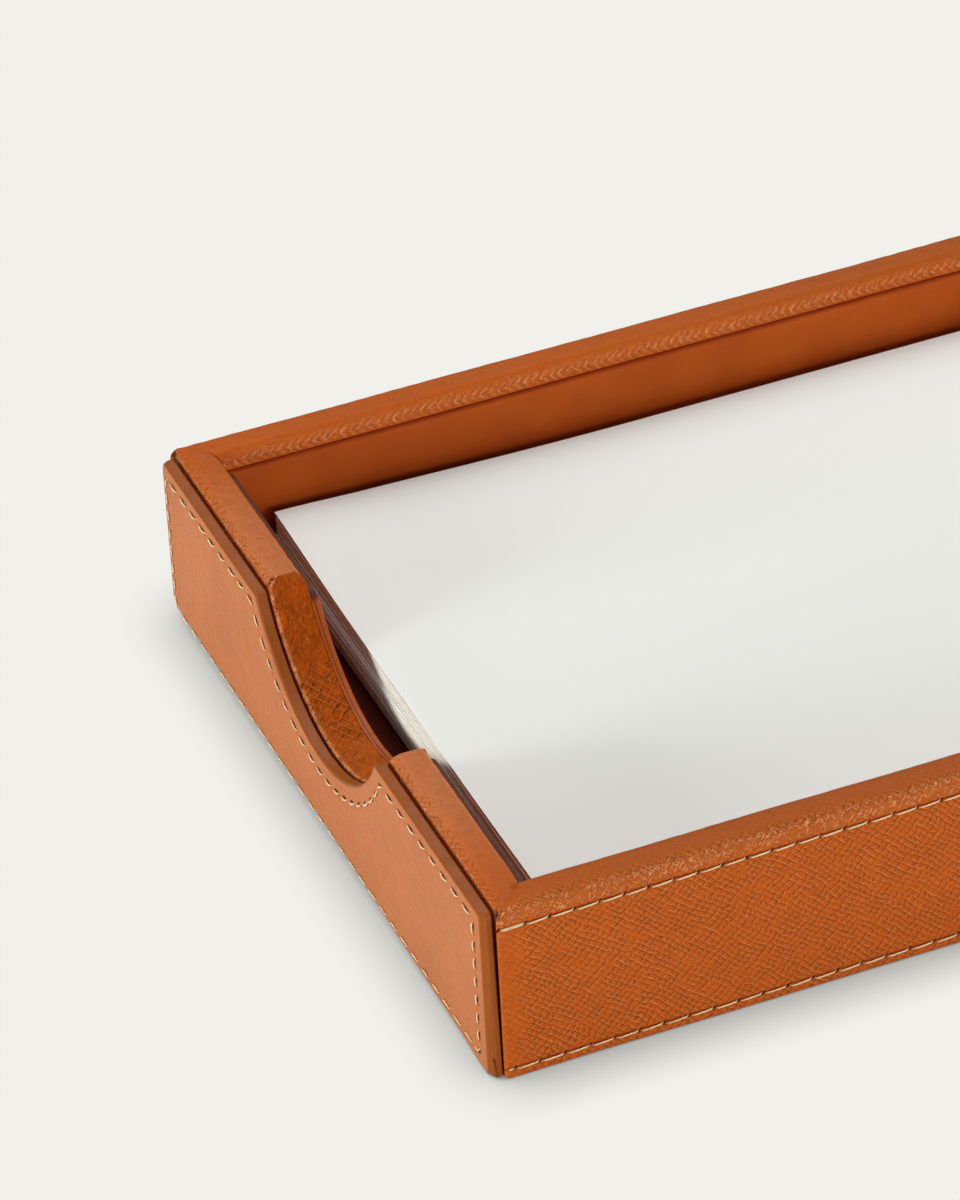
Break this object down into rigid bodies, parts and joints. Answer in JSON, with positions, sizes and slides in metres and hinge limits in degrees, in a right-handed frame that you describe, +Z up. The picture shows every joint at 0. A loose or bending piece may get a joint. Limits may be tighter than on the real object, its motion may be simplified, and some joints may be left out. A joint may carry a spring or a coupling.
{
  "type": "memo pad holder with drawer",
  "caption": "Open leather-covered tray for loose memo sheets, with a finger notch in one end and a shallow drawer under the tray floor whose front is the notched, stitched end panel.",
  "frame": {"origin": "middle of the resting face", "axes": "+X along the length, away from the drawer front; +Y across, towards the back long wall; +Z up"},
  "size_m": [0.171, 0.1246, 0.0294],
  "materials": {
    "grain_leather": "cross-hatch embossed calf, satin",
    "smooth_leather": "smooth calf lining, satin",
    "panel_leather": "fine pebble calf with burnished edge",
    "suede": "suede, matte",
    "wood_board": "bare board, matte",
    "liner_card": "bookbinder's board, matte",
    "thread": "waxed cream thread",
    "glide_tape": "low friction tape",
    "paper": "uncoated writing paper"
  },
  "bodies": {
    "case": {"front_wall_leather": "grain_leather", "back_wall_leather": "grain_leather", "left_wall_leather": "grain_leather", "right_wall_leather": "grain_leather", "notch_strip": "grain_leather", "front_liner_leather": "smooth_leather", "back_liner_leather": "smooth_leather", "left_liner_leather": "smooth_leather", "right_liner_leather": "smooth_leather", "deck_lining": "smooth_leather", "underside_cover": "suede", "front_wall_board": "wood_board", "back_wall_board": "wood_board", "left_wall_board": "wood_board", "right_wall_board": "wood_board", "base_board": "wood_board", "deck_board": "wood_board", "drawer_rail_front": "wood_board", "drawer_rail_back": "wood_board", "front_liner_board": "liner_card", "back_liner_board": "liner_card", "left_liner_board": "liner_card", "right_liner_board": "liner_card", "front_rim_stitches": "thread", "front_foot_stitches": "thread", "back_rim_stitches": "thread", "back_foot_stitches": "thread", "right_rim_stitches": "thread", "right_foot_stitches": "thread", "drawer_glide_front": "glide_tape", "drawer_glide_back": "glide_tape"},
    "drawer": {"drawer_front_leather": "panel_leather", "drawer_front_backing": "panel_leather", "drawer_front_stitches": "thread", "drawer_floor": "wood_board", "drawer_front_wall": "wood_board", "drawer_rear_wall": "wood_board", "drawer_front_side": "wood_board", "drawer_back_side": "wood_board", "drawer_lining": "suede"},
    "memo_stack": {"memo_sheets": "paper", "top_sheet": "paper"}
  },
  "joints": [
    {"name": "drawer_slide", "type": "slide", "parent": "case", "child": "drawer", "axis": [-1, 0, 0], "range_m": [0, 0.11]},
    {"name": "sheet_lift", "type": "slide", "parent": "case", "child": "memo_stack", "axis": [0, 0, 1], "range_m": [0, 0.04]}
  ]
}
